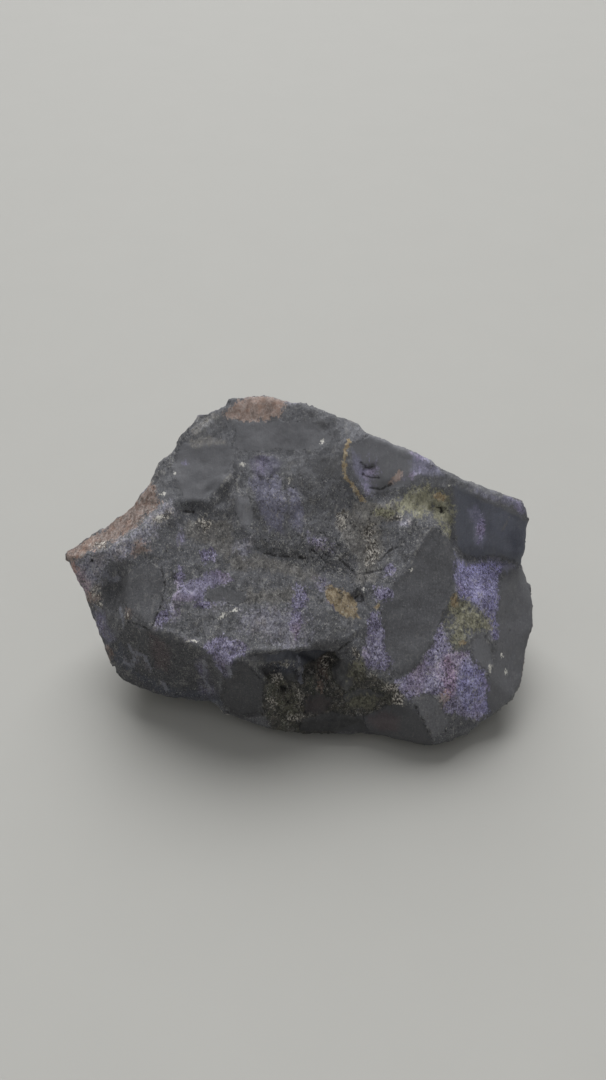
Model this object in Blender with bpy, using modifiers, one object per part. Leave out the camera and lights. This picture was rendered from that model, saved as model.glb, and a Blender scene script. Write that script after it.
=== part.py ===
"""A rough hand piece of phosphosiderite: one broken stone lying on its flat base.

The stone is drawn as a relief.  Named lines of points (its rim, ledges, ridges and hollows) are
joined into flat facets, once for the side that faces up and to the front and once for the back
and the base.  The closed form is then remeshed, hollowed by shallow scoops where chips came
away, roughened, thinned to a modest number of triangles and cut flat where it rests.

Lengths are in millimetres in the lists and in metres in the model.  +Z is up, +X is to the
right along the longest side, and the front faces -Y.
"""
import bpy
import numpy as np
from mathutils import Vector, geometry

MM = 0.001
OBJECT_NAME = "phosphosiderite_specimen"
STONE_NAME = "stone"

# Overall working values
EYE = Vector((1.0, -134.5, 159.5))    # both reliefs are laid out as fans of lines from here
VOXEL = 0.55                          # grain of the first closed mesh
TRIANGLES = 9400                      # the finished stone has about this many
SOFTENING_PASSES = 2                  # rounds of smoothing that take off the facets' raw edges
LUMPS_SIZE, LUMPS_HEIGHT = 9.0, 0.6   # broad swellings
CHIPS_SIZE, CHIPS_HEIGHT = 3.2, 0.25  # small steps and pits
WANDER_SIZE, WANDER = 1.1, 0.45       # how the hollows' edges stray from true circles
CUTTER_SIDE = 200.0                   # the block that cuts the base flat
BASE_CUT = 0.35                       # the base is cut flat this far above its lowest points

# The rim: where the front relief meets the back one, clockwise from the left tip
RIM = [
    (-42.5, -2, 23.5), (-36, 2.5, 25), (-30.5, 4, 29), (-26.5, 6, 33), (-25, 9, 36),
    (-22.5, 10, 37.5), (-22, 12, 39), (-17.5, 15.5, 42), (-13.5, 15.5, 43.5), (-13, 17, 44),
    (-6.5, 17.5, 45), (0.5, 14.5, 45), (7.5, 12.5, 43.5), (11, 11.5, 42.5), (12, 10, 42),
    (19.5, 9, 39.5), (28, 4.5, 36.5), (36.5, 2, 34.5), (40, 2, 33), (42, 1, 29),
    (42.5, 0, 25), (42, 1, 17.5), (43.5, -5.5, 15), (43.5, -10.5, 12.5), (40.5, -19, 8),
    (38, -22.5, 7), (30.5, -27, 3), (24, -30, 1), (15.5, -28, 1), (12, -27.5, 1.5),
    (0.5, -27.5, 1.5), (-5, -26.5, 1), (-13.5, -23, 2), (-15, -21.5, 4), (-26.5, -20, 5.5),
    (-32.5, -18, 7), (-36.5, -11.5, 12), (-38.5, -7.5, 18),
]

# Lines of the front relief
FRONT = {
    "beak_crust_fold": [(-40, -4, 24.5), (-33.5, -5, 27.5), (-27.5, -3, 30.5), (-22.5, -0.5, 33.5)],
    "beak_crust_top": [(-26, 4.5, 33.5)],
    "beak_face": [(-37, -4, 23.5), (-34.5, -8, 19.5)],
    "beak_hollow": [(-33, -5, 25), (-32.5, -7, 22), (-32.5, -10, 19.5)],
    "left_facet": [(-29.5, -7, 26), (-25.5, -7.5, 27.5), (-23, -12, 25), (-29.5, -12, 22)],
    "lip": [(-34.5, -10, 18.5), (-31, -13.5, 19.5), (-25, -17.5, 21.5), (-20, -20.5, 21.5),
            (-15.5, -22.5, 20.5), (-10.5, -24, 19.5), (-7, -23, 20.5), (-1, -22, 20.5),
            (5.5, -21, 20), (8, -19.5, 20.5), (12.5, -17, 20.5)],
    "shelf": [(-20, -14.5, 25), (-8, -14, 24.5), (4, -15.5, 23.5)],
    "shelf_back": [(-18.5, -10, 27), (-14, -10, 27), (-10.5, -7, 28), (-6, -6, 28),
                   (0.5, -7, 27), (8.5, -8, 25.5), (12.5, -9, 24.5)],
    "step": [(-6, -3, 31), (-2, -3.5, 30.5), (2, -5, 29.5), (8.5, -5.5, 28)],
    "left_slope": [(-24, -2.5, 31), (-19.5, -4, 30), (-15, -3.5, 29.5), (-22, -8, 28)],
    "ledge": [(-23, 3, 34.5), (-21, 1, 34), (-16.5, 0.5, 34.5), (-14, 2.5, 36), (-12, 5, 37.5)],
    "ledge_foot": [(-20.5, 1, 32.5), (-15.5, 0.5, 32.5), (-11.5, 4, 36)],
    "gully": [(-11.5, 12, 41.5), (-11, 6, 37), (-10.5, 0, 33.5)],
    "brow": [(-5, 7.5, 39.5), (2, 6, 40), (8.5, 4.5, 38)],
    "bulge": [(-5.5, 4.5, 38), (-4, -1, 34.5), (2, 0.5, 34.5)],
    "right_slope": [(9.5, 0.5, 32), (6, -1.5, 30.5), (11.5, -2.5, 29)],
    "plateau": [(9.5, 8.5, 41.5), (12, 1, 34), (18, 5.5, 37), (18, 2.5, 33.5), (23.5, 4, 35)],
    "saddle": [(18, -0.5, 31), (22.5, 2, 32), (27, 0.5, 30)],
    "strip": [(14.5, -1, 28.5), (17, -4, 28), (14, -5.5, 25.5)],
    "leaf_left": [(20, -8, 27), (16, -12, 24.5), (15.5, -18.5, 19), (17, -23, 15.5)],
    "leaf_right": [(24, -3, 31.5), (26.5, -6, 29.5), (27.5, -12, 25), (24, -17.5, 20.5),
                   (18.5, -23.5, 15.5)],
    "fin_edge": [(27.5, 3.5, 35), (34, 0.5, 34), (41, 0.5, 31)],
    "fin_face": [(32.5, 1, 28), (38.5, 1.5, 25)],
    "fin_foot": [(28, -2, 25.5), (31, -1.5, 22.5), (37, 0, 20.5), (40, 0.5, 19)],
    "lobe": [(31, -12, 22), (37.5, -7, 19.5), (37, -15, 15), (36, -21.5, 10)],
    "fan": [(30, -18, 18.5), (30.5, -23, 14), (25.5, -26.5, 11.5), (26.5, -29, 6)],
    "front_right": [(13, -22.5, 16.5), (17.5, -26, 12), (21, -28, 9), (12, -26, 6)],
    "front_ledge": [(8.5, -23.5, 8.5), (10, -24.5, 6.5), (15.5, -25, 8)],
    "front_recess": [(-5, -20, 13), (0.5, -18.5, 12.5), (5.5, -19, 13), (2, -23, 8), (6, -25.5, 5)],
    "front_left": [(-8.5, -23.5, 18.5), (-5.5, -23.5, 14), (-4.5, -25, 7), (-11.5, -23, 11),
                   (-13.5, -22.5, 7.5)],
    "left_face": [(-20.5, -21, 14), (-27.5, -18.5, 15), (-16.5, -21, 8)],
}

# Lines of the back and the base
BACK = {
    "base": [(-2, -25.5, 0), (12, -26, 0), (23, -28, 0), (31, -22, 0), (36, -10, 0),
             (37, 6, 0), (24, 17, 0), (4, 22, 0), (-15, 18, 0), (-25, 6, 0),
             (-22, -10, 0), (-12, -20, 0)],
    "back_foot": [(39, 6, 9), (26, 19, 8), (3, 26, 7), (-17, 21, 8), (-29, 9, 8)],
    "back_wall": [(37, 8, 22), (22, 18, 24), (1, 25, 27), (-14, 23, 28), (-24, 15, 24),
                  (-33, 6, 17)],
    "back_shoulder": [(29, 10, 30), (12, 17.5, 35), (-8, 22, 38), (-19, 16, 36)],
}

# Hollows where chips and grains came away: place, radius and depth, pressed towards the heart
HEART = (0, 2, 16)
SCOOPS = {
    "left_scar": ((-17, 4.5, 36.5), 8, 0.8),
    "top_scar": ((-4, 10, 41), 8, 0.7),
    "plateau_scar": ((17, 5.5, 37.5), 7, 0.8),
    "shelf_scar": ((-12.5, -14, 25.5), 8, 0.6),
    "leaf_scar": ((22, -13.5, 24), 9, 0.7),
    "lobe_scar": ((39, -14.5, 14.5), 9, 0.8),
    "left_face_scar": ((-24, -19, 13), 8, 0.8),
    "fin_face_scar": ((36.5, -0.5, 27), 7, 1.2),
    "fin_hollow": ((28.5, 0.5, 33), 2.4, 1.6),
    "olive_hole": ((25.5, 1, 32), 1.8, 1.6),
    "ledge_hollow": ((-14, 1.5, 34.5), 2.6, 1.2),
    "beak_hollow": ((-33, -8, 22.5), 3.2, 0.9),
    "left_dent": ((13, 4, 37), 2.4, 0.7),
    "right_dent": ((15.5, 2.5, 35.5), 2.6, 0.7),
    "round_pit": ((11, -12.5, 23), 1.7, 1.6),
    "lip_recess": ((3.5, -20.5, 17), 4, 1.8),
    "upper_front_pit": ((-3, -22, 12), 2.4, 1.3),
    "middle_front_pit": ((0.5, -24, 8.5), 2.6, 1.4),
    "right_front_pit": ((5, -22.5, 10.5), 2.6, 1.5),
    "lower_front_pit": ((7, -25, 6), 2.4, 1.2),
    "left_front_pit": ((-1.5, -25.5, 6), 2.2, 1.0),
    "back_scar": ((5, 24, 24), 15, 2.2),
    "back_left_scar": ((-21, 17, 20), 11, 1.8),
    "back_right_scar": ((31, 13, 18), 11, 1.8),
    "under_beak_scar": ((-32, 2, 15), 8, 1.2),
}

# How the triangulation is asked for
FACES_INSIDE_OUTLINE = 1    # keep the facets within the rim
SAME_POINT = 1e-6           # points nearer than this on the fan's plane would merge


def fan(point):
    """Where the line from the eye to a point crosses a plane held up in front of the eye."""
    ahead = Vector((0.0, 1.0, -1.0)).normalized()
    above = Vector((0.0, 1.0, 1.0)).normalized()
    reach = Vector(point) - EYE
    return Vector((reach.x, reach.dot(above))) / reach.dot(ahead)


def relief(lines):
    """The rim and the points of some lines, and the facets that join them inside the rim."""
    points = [Vector(p) for p in RIM]
    edges = [(i, (i + 1) % len(RIM)) for i in range(len(RIM))]
    for line in lines.values():
        first = len(points)
        points += [Vector(p) for p in line]
        edges += [(i, i + 1) for i in range(first, len(points) - 1)]
    flat = [fan(p) for p in points]
    outline = [range(len(RIM))]
    faces = geometry.delaunay_2d_cdt(flat, edges, outline, FACES_INSIDE_OUTLINE, SAME_POINT)[2]
    return points, faces


def cage():
    """The closed, flat-faceted form: front relief and back relief on one rim."""
    front_points, front_faces = relief(FRONT)
    back_points, back_faces = relief(BACK)
    rim_count = len(RIM)
    shift = len(front_points) - rim_count
    points = front_points + back_points[rim_count:]
    faces = [tuple(face) for face in front_faces]
    for face in back_faces:
        corners = [i if i < rim_count else i + shift for i in face]
        faces.append(tuple(reversed(corners)))
    mesh = bpy.data.meshes.new(STONE_NAME)
    mesh.from_pydata([p * MM for p in points], [], faces)
    mesh.validate()
    return mesh


def evaluated(obj):
    """A new mesh of an object as its modifiers leave it."""
    bpy.context.view_layer.update()
    graph = bpy.context.evaluated_depsgraph_get()
    return bpy.data.meshes.new_from_object(obj.evaluated_get(graph))


def clear_scene():
    """Start from an empty scene."""
    for obj in list(bpy.data.objects):
        bpy.data.objects.remove(obj)


def collection(name):
    """A new collection in the scene."""
    group = bpy.data.collections.new(name)
    bpy.context.scene.collection.children.link(group)
    return group


def stone_material():
    """Dark grey, faintly purple, matt rock."""
    material = bpy.data.materials.new("dark_matrix")
    material.use_nodes = True
    shader = material.node_tree.nodes["Principled BSDF"]
    shader.inputs["Base Color"].default_value = (0.075, 0.072, 0.085, 1.0)
    shader.inputs["Roughness"].default_value = 0.7
    shader.inputs["Metallic"].default_value = 0.0
    return material


def roughen(obj, name, kind, size, height):
    """Raise and sink the surface by a procedural texture, height millimetres from low to high."""
    texture = bpy.data.textures.new(name, kind)
    texture.noise_scale = size * MM
    displace = obj.modifiers.new(name, "DISPLACE")
    displace.texture = texture
    displace.texture_coords = "LOCAL"
    displace.strength = height * MM
    displace.mid_level = 0.5


def closed_form():
    """The cage as one even closed mesh, with the raw edges of its facets softened."""
    obj = bpy.data.objects.new("rough_form", cage())
    bpy.context.scene.collection.objects.link(obj)
    remesh = obj.modifiers.new("close", "REMESH")
    remesh.mode = "VOXEL"
    remesh.voxel_size = VOXEL * MM
    soften = obj.modifiers.new("soften", "SMOOTH")
    soften.factor = 0.5
    soften.iterations = SOFTENING_PASSES
    mesh = evaluated(obj)
    bpy.data.objects.remove(obj)
    return mesh


def scoop(mesh):
    """Press every hollow of SCOOPS into the mesh, deepest in its middle."""
    places = np.empty(len(mesh.vertices) * 3)
    mesh.vertices.foreach_get("co", places)
    places = places.reshape(-1, 3)
    stray = WANDER * MM * np.sin(places[:, [1, 2, 0]] / (WANDER_SIZE * MM))
    for place, radius, depth in SCOOPS.values():
        centre = np.array(place) * MM
        inward = np.array(HEART) * MM - centre
        inward /= np.linalg.norm(inward)
        reach = np.linalg.norm(places + stray - centre, axis=1) / (radius * MM)
        bowl = np.clip(1 - reach ** 2, 0, 1)
        places += inward * depth * MM * bowl[:, None]
    mesh.vertices.foreach_set("co", places.ravel())


def base_cutter(cutters):
    """A block under the stone whose top is the plane that the stone rests on."""
    top = BASE_CUT * MM
    side = CUTTER_SIDE * MM
    bpy.ops.mesh.primitive_cube_add(size=side, location=(0, 0, top - side / 2))
    block = bpy.context.object
    block.name = "base_cutter"
    for group in list(block.users_collection):
        group.objects.unlink(block)
    cutters.objects.link(block)
    block.hide_render = True
    block.display_type = "WIRE"
    return block


def stone(parts, cutters):
    """The stone, its base flat on z = 0 and its bounding box centred over the origin."""
    shape = closed_form()
    scoop(shape)
    shape.name = STONE_NAME
    obj = bpy.data.objects.new(STONE_NAME, shape)
    parts.objects.link(obj)
    obj.data.materials.append(stone_material())

    roughen(obj, "lumps", "CLOUDS", LUMPS_SIZE, LUMPS_HEIGHT)
    roughen(obj, "chips", "VORONOI", CHIPS_SIZE, CHIPS_HEIGHT)
    full = evaluated(obj)
    thin = obj.modifiers.new("thin", "DECIMATE")
    thin.ratio = TRIANGLES / (2 * len(full.polygons))
    bpy.data.meshes.remove(full)

    block = base_cutter(cutters)
    cut = obj.modifiers.new("flat_base", "BOOLEAN")
    cut.operation = "DIFFERENCE"
    cut.solver = "EXACT"
    cut.object = block

    finished = evaluated(obj)
    lows = [min(v.co[axis] for v in finished.vertices) for axis in range(3)]
    highs = [max(v.co[axis] for v in finished.vertices) for axis in range(3)]
    bpy.data.meshes.remove(finished)
    offset = Vector((-(lows[0] + highs[0]) / 2, -(lows[1] + highs[1]) / 2, -lows[2]))
    obj.location = offset
    block.location += offset


def build():
    """The whole model."""
    clear_scene()
    parts = collection(OBJECT_NAME)
    cutters = collection("cutters")
    stone(parts, cutters)


build()
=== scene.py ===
"""The looks of a rough phosphosiderite specimen, built round its packed stone.

The stone's solid is copied, remeshed finely and worked over: chips, cracks, pits and granular
crusts go into the mesh, and one node material lays the purple mineral, the pale films and the
olive, rusty and cream crusts over the dark rock.  The material also paints shade into the
recesses, crevices, cracks, pits, front faces and foot, and highlights along edges and on bumps.
Places on the stone are sightings: pixels of a 606 by 1080 frame, followed from the camera to
where they meet the solid.  Sizes are millimetres, except the table's, which are metres.
"""
import math

import bpy
import numpy as np
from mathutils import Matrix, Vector, noise
from mathutils.bvhtree import BVHTree
from mathutils.kdtree import KDTree


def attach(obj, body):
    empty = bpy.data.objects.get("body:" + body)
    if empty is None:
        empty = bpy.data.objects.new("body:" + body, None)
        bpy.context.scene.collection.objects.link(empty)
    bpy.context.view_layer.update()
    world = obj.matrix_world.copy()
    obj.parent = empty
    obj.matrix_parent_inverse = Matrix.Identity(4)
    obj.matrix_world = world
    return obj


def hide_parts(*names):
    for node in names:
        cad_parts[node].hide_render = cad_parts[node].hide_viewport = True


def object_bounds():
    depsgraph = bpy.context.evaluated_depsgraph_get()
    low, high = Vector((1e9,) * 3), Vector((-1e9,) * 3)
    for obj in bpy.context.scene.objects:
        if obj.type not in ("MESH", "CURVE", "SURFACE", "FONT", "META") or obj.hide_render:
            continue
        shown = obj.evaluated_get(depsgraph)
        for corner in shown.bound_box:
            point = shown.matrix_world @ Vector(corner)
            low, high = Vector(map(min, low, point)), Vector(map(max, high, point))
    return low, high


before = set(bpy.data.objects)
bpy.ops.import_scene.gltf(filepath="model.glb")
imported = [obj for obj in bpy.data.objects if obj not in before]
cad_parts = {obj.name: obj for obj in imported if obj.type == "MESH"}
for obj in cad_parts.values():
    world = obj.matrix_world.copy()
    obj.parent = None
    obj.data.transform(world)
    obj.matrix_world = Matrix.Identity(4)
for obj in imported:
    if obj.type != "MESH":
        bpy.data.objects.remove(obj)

cad_low, cad_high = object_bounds()

MM = 0.001
NODE = "stone"
BODY = "root"

# The camera is held close and looks down at the stone
EYE = Vector((0.27, -132.39, 159.07))
TILT = math.radians(45)
LENS = 35.0
SENSOR = 36.0
FRAME_WIDE = 606
FRAME_HIGH = 1080
PIXELS_A_UNIT = LENS / SENSOR * FRAME_HIGH
HEART = Vector((0, 0, 20))
PIXELS_A_MM = PIXELS_A_UNIT / (HEART - EYE).length    # at the stone's heart
AHEAD = Vector((0, math.cos(TILT), -math.sin(TILT)))
UPWARD = Vector((0, math.sin(TILT), math.cos(TILT)))
RIGHT = Vector((1, 0, 0))

# The worked surface
GRAIN_SIZE = 0.41         # between the fine mesh's points
SOFTENING = 3             # passes that take the solid's flat triangles away
BASE_FADE = 1.5           # height over which the relief fades in above the resting face
BASE_HEIGHT = 0.2         # the resting face's points lie below this
RIM_HEIGHT = 0.8          # and the points of its rim between that and this
FOOT_ROUND = 5.0          # radius that rolls the edge of the resting face under
INSIDE = 0.02             # how far the surface keeps inside the solid's box
STRETCH = (1.0, 0.7, 0.7)  # the grain runs longer away from the front than across it
NOISE_SEED = 1            # of the noise vectors, which would otherwise change from run to run
SCALLOP_MEAN = 0.3        # taken from the scallops' height, which then swings about 0
BUMP_HEIGHT = 0.16        # of the grain that is finer than the mesh

# The layers' fields: how deep each place is in a patch or an outline, or how far from a line
HIDDEN_DROP = 6.0         # takes an outline's field below 0 on the sides that it doesn't reach
PATCH_REACH = 2.2         # a patch's half size along the line of sight, against its mean one
OUTLINE_BLUR = 0.35       # half the width over which an outline's share comes in
FIELD_LIMIT = 3           # no field goes further from 0

# The light: where each softbox stands, its width in degrees and its strength
SOFTBOX = ((-0.04, 0.89, 1.0), 52, 3.05)
CEILING = ((0.0, -0.22, 1.0), 110, 0.55)
ROOM_COLOUR = (0.98, 0.99, 1.0)
ROOM_STRENGTH = 0.11

# The table, in metres: its backdrop slopes up past the horizon of a low view
TABLE_RADIUS = 1.2
BOWL_BEND = 1.0
BOWL_SLOPE = math.radians(30)
BOWL_LENGTH = 2.0
BOWL_RINGS = 12
BOWL_TURNS = 96
MOTTLES_A_METRE = 60.0


# ---------------------------------------------------------------- sightings

# Each row: the pixel across and down, half the width and height in millimetres, and the turn
# anticlockwise in degrees
STRONG_PURPLE = {
    "leaf_spot_high": (390, 571, 1.2, 1.6, 0),
    "fin_stripe": (481, 530, 0.8, 3.2, 10),
    "shelf_low": (297, 622, 1.1, 3.0, 0),
    "leaf_spot_low": (382, 593, 1.4, 1.5, 0),
    "shelf_island": (207, 556, 1.2, 1.6, 0),
    "shelf_rise": (180, 577, 1.1, 2.2, 0),
    "shelf_corner": (163, 618, 2.0, 1.1, 40),
    "under_band": (205, 604, 1.9, 0.9, 0),
    "shelf_right": (300, 597, 1.5, 2.4, 0),
    "ochre_rim": (332, 600, 0.8, 2.0, 30),
}
FAINT_PURPLE = {
    "left_facet_dot": (184, 463, 1.2, 0.9, 0),
    "left_edge": (100, 625, 1.6, 3.8, 0),
    "front_streak": (201, 672, 1.0, 2.6, 0),
    "front_streak_foot": (207, 690, 1.8, 1.3, 0),
    "plateau_high": (418, 455, 2.0, 1.0, -30),
    "plateau_low": (415, 472, 2.8, 1.2, 20),
    "crescents": (368, 475, 2.2, 3.4, 0),
    "fin_top": (517, 505, 2.2, 1.2, -30),
    "fin_stripe": (480, 528, 0.9, 3.4, 0),
    "mass_foot": (320, 545, 3.4, 1.6, -30),
    "left_mass": (180, 540, 1.0, 2.0, 0),
    "upper_bloom": (264, 467, 2.3, 2.6, 0),
    "lip_left": (172, 612, 3.0, 1.6, 30),
    "ochre_side": (322, 583, 2.0, 2.0, 0),
    "under_olive": (445, 655, 2.0, 2.4, 0),
}
PALE_FILM = {
    "shelf_film_low": (290, 643, 2.4, 1.2, 0),
    "fan_light": (479, 678, 1.4, 1.4, 0),
    "fan_ridge": (454, 675, 0.6, 3.6, 0),
    "front_line": (193, 641, 1.5, 0.4, 0),
    "slope_light": (245, 548, 1.9, 1.7, 0),
    "pink_tan": (246, 622, 1.0, 2.2, 0),
    "front_strokes_left": (137, 655, 0.8, 1.4, 20),
    "front_strokes_right": (147, 664, 0.7, 1.5, 35),
    "front_strokes_low": (127, 660, 1.0, 1.0, 0),
    "front_stroke_foot": (163, 685, 0.6, 1.5, 20),
    "recess_blue": (300, 672, 0.7, 1.8, 0),
    "crest_right": (290, 401, 2.0, 0.9, 0),
    "corner_light": (170, 617, 1.5, 0.8, 30),
    "corner_light_low": (158, 628, 1.3, 0.7, 30),
    "olive_foot": (405, 520, 2.0, 0.8, 0),
    "grey_band": (210, 606, 2.4, 0.7, 0),
    "wall_foot": (470, 594, 1.4, 0.8, 0),
}
OLIVE = {
    "upper_left": (408, 504, 2.8, 1.9, 10),
    "upper_middle": (424, 502, 3.8, 2.6, 10),
    "upper_right": (443, 512, 2.0, 3.8, 0),
    "upper_drip": (449, 530, 0.7, 1.4, 0),
    "lower_top": (458, 607, 2.2, 1.5, 0),
    "lower_middle": (470, 620, 4.0, 2.4, 0),
    "lower_left": (458, 638, 1.9, 2.0, 0),
    "lower_right": (487, 626, 1.6, 1.5, 0),
    "ledge_lens": (365, 702, 3.6, 1.5, 5),
    "ledge_side": (357, 672, 1.5, 2.4, 0),
    "centre_crust": (288, 706, 2.4, 3.2, 0),
    "centre_crust_high": (280, 688, 1.6, 1.4, 0),
    "right_crumbs": (385, 512, 2.0, 1.2, 0),
}
OCHRE = {
    "olive_eye": (455, 601, 0.8, 1.2, 0),
    "olive_dot": (463, 643, 0.7, 0.7, 0),
    "olive_top": (440, 497, 1.4, 0.7, 0),
    "strip_dot": (376, 607, 0.5, 0.6, 0),
}
RUST = {
    "beak_foot": (140, 550, 1.9, 1.2, 30),
    "tip_side": (73, 566, 1.0, 1.6, 0),
    "left_edge_high": (92, 598, 1.7, 1.1, 0),
    "left_edge_dots": (127, 615, 0.9, 1.0, 0),
    "left_edge_low": (110, 655, 1.0, 1.5, 0),
    "recess_streak": (323, 670, 1.2, 1.6, 30),
    "recess_streak_low": (319, 684, 0.6, 1.4, 0),
    "fan_spot": (443, 699, 1.0, 1.2, 0),
    "plateau_line": (395, 478, 1.6, 0.7, 40),
}
CREAM = {
    "hollow_crumbs": (98, 606, 1.0, 1.4, 30),
    "hollow_dot": (126, 617, 0.9, 0.9, 0),
    "tip_crumbs": (96, 590, 0.8, 1.6, 0),
    "ledge": (390, 688, 2.0, 1.0, -20),
    "ledge_right": (398, 700, 1.2, 1.6, 0),
    "strip_side": (355, 656, 0.8, 1.4, 0),
    "sparkle_column_high": (368, 532, 1.6, 1.8, 0),
    "sparkle_column": (370, 548, 1.3, 3.0, 0),
    "sparkle_left": (344, 521, 1.3, 2.0, 0),
    "left_sparkle": (203, 523, 1.4, 1.2, 0),
    "beak_highlights": (161, 519, 2.4, 1.0, 20),
    "beak_line": (100, 547, 3.0, 0.6, 10),
    "crust_light": (292, 717, 1.6, 0.8, 20),
    "cavity_left": (272, 700, 0.7, 1.8, 0),
    "cavity_right": (299, 698, 0.6, 1.8, 0),
    "recess_crumbs": (324, 668, 1.0, 1.6, -30),
    "strip_foot": (372, 676, 1.2, 0.6, 0),
    "crumbs": (395, 518, 1.5, 0.7, 20),
    "crust_side": (276, 680, 1.0, 1.2, 0),
    "recess_ledge": (281, 664, 3.4, 0.4, -5),
    "low_left": (225, 718, 1.0, 0.5, 0),
}
WHITE = {
    "facet_corner": (243, 464, 0.8, 0.45, 25),
    "right_facet": (322, 441, 0.4, 0.7, -20),
    "streak_dot": (289, 481, 0.3, 0.6, 0),
    "leaf_dot": (411, 570, 0.3, 0.5, 0),
    "lobe_high": (502, 655, 0.35, 0.6, 0),
    "lobe_middle": (490, 668, 0.4, 0.9, 0),
    "lobe_low": (506, 672, 0.35, 0.6, 20),
    "shelf_tick_left": (223, 616, 0.9, 0.45, 35),
    "shelf_tick_right": (236, 610, 0.9, 0.3, 15),
    "left_dot_high": (158, 466, 0.5, 0.4, 0),
    "left_dot_middle": (175, 473, 0.35, 0.35, 0),
    "left_dot_low": (163, 494, 0.8, 0.35, 10),
    "column_dot_high": (373, 559, 0.35, 0.3, 0),
    "column_dot_low": (373, 563, 0.35, 0.3, 0),
    "fan_dot": (436, 657, 0.3, 0.3, 0),
    "pit_dot": (363, 589, 0.25, 0.6, 10),
    "beak_dot": (160, 518, 0.5, 0.7, 0),
    "shell_left": (221, 714, 0.3, 0.9, 0),
    "shell_foot": (227, 719, 0.9, 0.4, 0),
    "front_line": (192, 641, 1.3, 0.25, 0),
    "plateau_dot": (449, 485, 0.3, 0.25, 0),
}
PATCHES = {
    "strong_purple": STRONG_PURPLE, "faint_purple": FAINT_PURPLE, "pale_film": PALE_FILM,
    "olive": OLIVE, "ochre": OCHRE, "rust": RUST, "cream": CREAM,
}

# Outlines through sightings, for the pieces with a clear edge
FACETS = {
    "leaf": ((435, 525), (427, 535), (418, 550), (411, 566), (389, 588), (382, 605), (383, 640),
        (394, 672), (406, 675), (431, 645), (443, 612), (457, 590), (456, 562), (450, 545)),
    "fin": ((453, 485), (475, 495), (500, 507), (530, 521), (533, 535), (527, 568), (505, 557),
        (468, 556), (455, 545)),
    "lobe": ((503, 564), (528, 570), (535, 600), (533, 650), (524, 682), (500, 712), (488, 708),
        (488, 680), (497, 650), (498, 600)),
    "grey_bump": ((472, 642), (482, 638), (493, 645), (492, 664), (484, 670), (474, 660)),
    "tongue": ((410, 697), (425, 693), (440, 702), (449, 718), (447, 726), (433, 741), (424, 720)),
    "bottom_facet": ((364, 716), (385, 708), (404, 704), (418, 712), (430, 738), (434, 752), (400, 748),
        (372, 735)),
    "shelf_lens": ((204, 594), (214, 587), (232, 589), (245, 592), (247, 601), (235, 606), (214, 604)),
    "bloom_lens": ((238, 494), (250, 497), (254, 510), (250, 525), (240, 527), (233, 512)),
    "left_facet": ((180, 445), (215, 436), (234, 445), (232, 466), (222, 487), (205, 500), (184, 502),
        (172, 470)),
    "top_facet": ((232, 420), (270, 421), (310, 420), (335, 436), (318, 450), (270, 451), (238, 452)),
    "plateau": ((352, 446), (372, 434), (405, 446), (426, 462), (430, 474), (412, 482), (385, 492),
        (368, 494), (353, 475)),
    "left_green": ((122, 578), (132, 569), (150, 564), (162, 570), (164, 588), (161, 606), (152, 624),
        (142, 622), (128, 612), (120, 598)),
    "front_facet": ((224, 668), (245, 660), (262, 682), (264, 712), (240, 716), (224, 706)),
    "recess_lens": ((252, 660), (264, 653), (300, 653), (330, 655), (318, 664), (298, 666), (262, 662)),
    "under_lens": ((256, 667), (298, 669), (303, 683), (286, 682), (266, 675)),
    "brown_facet": ((336, 657), (352, 663), (357, 680), (347, 694), (338, 684), (331, 672)),
    "olive_lens": ((341, 695), (358, 689), (386, 694), (380, 706), (357, 712), (345, 705)),
    "low_facet": ((302, 718), (332, 712), (364, 716), (370, 738), (318, 736), (300, 736)),
    "mud_facet": ((302, 700), (318, 692), (334, 700), (326, 714), (306, 714)),
}
PURPLE_FIELDS = {
    "lip": ((206, 642), (222, 635), (243, 640), (252, 650), (238, 657), (233, 665), (229, 677),
        (220, 672), (214, 660), (204, 650)),
    "right_wall": ((453, 552), (464, 566), (480, 561), (503, 565), (498, 580), (497, 605), (498, 640),
        (491, 638), (488, 620), (476, 607), (461, 600), (456, 585)),
    "fan": ((441, 622), (449, 640), (456, 654), (466, 652), (474, 664), (487, 673), (489, 692),
        (488, 712), (480, 723), (470, 717), (455, 715), (446, 712), (438, 697), (424, 692), (410, 699),
        (398, 692), (394, 682), (408, 675), (420, 660), (432, 645)),
    "shelf_band": ((171, 600), (180, 588), (187, 581), (200, 577), (213, 569), (229, 574), (231, 581),
        (220, 587), (207, 588), (205, 595), (198, 601), (184, 602)),
    "strip": ((366, 622), (373, 611), (381, 612), (383, 632), (386, 648), (393, 662), (386, 671),
        (374, 672), (365, 664), (361, 651), (367, 640)),
}
HAZE_FIELDS = {
    "fin_stripe": ((469, 510), (477, 505), (484, 520), (488, 540), (482, 549), (474, 542), (473, 525)),
    "upper_bloom": ((250, 457), (276, 455), (284, 462), (276, 474), (268, 482), (258, 478), (250, 468)),
    "streaks": ((248, 478), (278, 474), (288, 500), (284, 534), (268, 530), (258, 505)),
    "streak_right": ((286, 486), (297, 488), (304, 512), (300, 536), (292, 530), (288, 508)),
    "plateau": ((352, 448), (364, 458), (372, 490), (366, 492), (356, 480), (350, 462)),
    "rim": ((410, 451), (424, 455), (438, 465), (444, 475), (424, 478), (410, 470)),
    "fin_top": ((470, 488), (500, 496), (522, 500), (528, 514), (505, 506), (480, 496)),
    "left_edge": ((92, 612), (106, 612), (116, 640), (108, 646)),
    "front_streak": ((196, 660), (206, 658), (210, 680), (218, 690), (212, 700), (200, 694)),
    "wall_top": ((455, 552), (466, 560), (498, 558), (520, 566), (505, 572), (458, 572)),
}
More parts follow.
